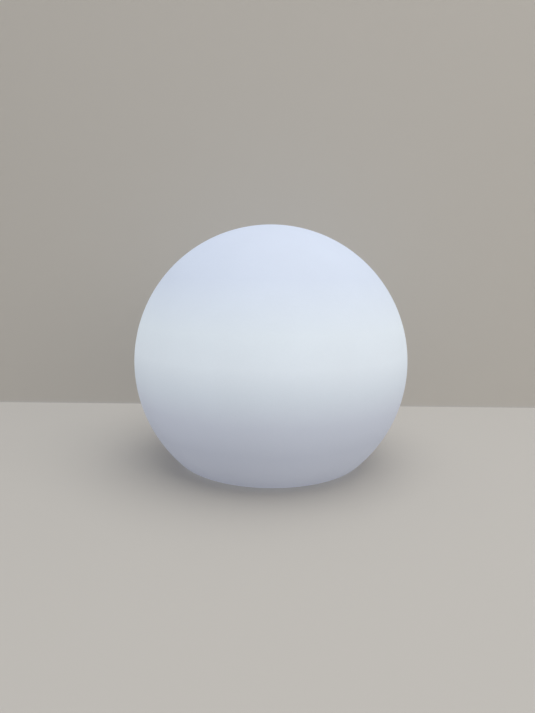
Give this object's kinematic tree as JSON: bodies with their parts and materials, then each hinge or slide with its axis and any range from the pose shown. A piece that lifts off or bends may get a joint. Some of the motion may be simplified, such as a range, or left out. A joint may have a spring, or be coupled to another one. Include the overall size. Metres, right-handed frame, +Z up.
{
  "type": "garden globe light",
  "caption": "Cordless glowing garden globe with a flattened base; its hollow shell twists and lifts off a battery light module on rubber feet.",
  "frame": {"origin": "on the ground, under the middle of the globe", "axes": "+Z up through the top of the globe; the charging port is towards +X on the underside and the button towards -X"},
  "size_m": [0.2, 0.2, 0.1745],
  "materials": {
    "globe_white": "matte translucent polyethylene, lit from inside",
    "module_white": "fine moulded texture",
    "seal_rubber": "soft silicone",
    "foot_rubber": "matte",
    "plug_silicone": "soft silicone",
    "button_grey": "fine matte",
    "screw_steel": "zinc plated",
    "socket_steel": "nickel plated",
    "lens_frosted": "frosted clear plastic, lit from inside",
    "spreader_aluminium": "satin",
    "board_white": "white solder mask",
    "board_green": "green solder mask",
    "diode_lit": "lit",
    "cell_wrap": "shrunk film",
    "tray_black": "fine moulded texture",
    "strap_web": "woven tape",
    "component_black": "matte",
    "header_white": "satin",
    "wire_red": "satin",
    "wire_black": "satin"
  },
  "bodies": {
    "light_module": {"module_housing": "module_white", "base_cover": "module_white", "cover_seal": "seal_rubber", "cover_screws": "screw_steel", "rubber_feet": "foot_rubber", "lens_dome": "lens_frosted", "lens_seal": "seal_rubber", "lens_screws": "screw_steel", "heat_spreader": "spreader_aluminium", "light_board": "board_white", "leds": "diode_lit", "light_screws": "screw_steel", "harness_grommet": "seal_rubber", "light_lead_red": "wire_red", "light_lead_black": "wire_black", "light_header": "header_white", "control_board": "board_green", "control_screws": "screw_steel", "switch_body": "component_black", "charge_socket": "socket_steel", "drum_coil": "component_black", "storage_capacitor": "spreader_aluminium", "driver_chips": "component_black", "battery_header": "header_white", "battery_cells": "cell_wrap", "battery_tabs": "socket_steel", "battery_tray": "tray_black", "battery_straps": "strap_web", "tray_screws": "screw_steel", "battery_lead_red": "wire_red", "battery_lead_black": "wire_black", "plug_anchor": "plug_silicone"},
    "neck_seal_carrier": {"neck_seal": "seal_rubber"},
    "globe": {"globe_shell": "globe_white", "collar_ring": "module_white", "collar_screws": "screw_steel"},
    "button": {"power_button": "button_grey"},
    "plunger": {"switch_plunger": "component_black"},
    "plug": {"port_plug": "plug_silicone"}
  },
  "joints": [
    {"name": "globe_lift", "type": "slide", "parent": "light_module", "child": "neck_seal_carrier", "axis": [0, 0, 1], "range_m": [0, 0.072]},
    {"name": "globe_twist", "type": "hinge", "parent": "neck_seal_carrier", "child": "globe", "pos_m": [0, 0, 0.0153], "axis": [0, 0, 1], "range_deg": [0, 1080]},
    {"name": "button_press", "type": "slide", "parent": "light_module", "child": "button", "axis": [0, 0, 1], "range_m": [0, 0.0005], "stiffness_N_per_m": 400},
    {"name": "plunger_travel", "type": "slide", "parent": "light_module", "child": "plunger", "axis": [0, 0, 1], "range_m": [0, 0.0005]},
    {"name": "port_plug_swing", "type": "hinge", "parent": "light_module", "child": "plug", "pos_m": [0.022, 0, 0.0021], "axis": [0, -1, 0], "range_deg": [0, 120]}
  ],
  "couplings": [
    {"joint": "globe_lift", "follows": "globe_twist", "m_per_rad": 0.0038197},
    {"joint": "plunger_travel", "follows": "button_press", "ratio": 1}
  ]
}
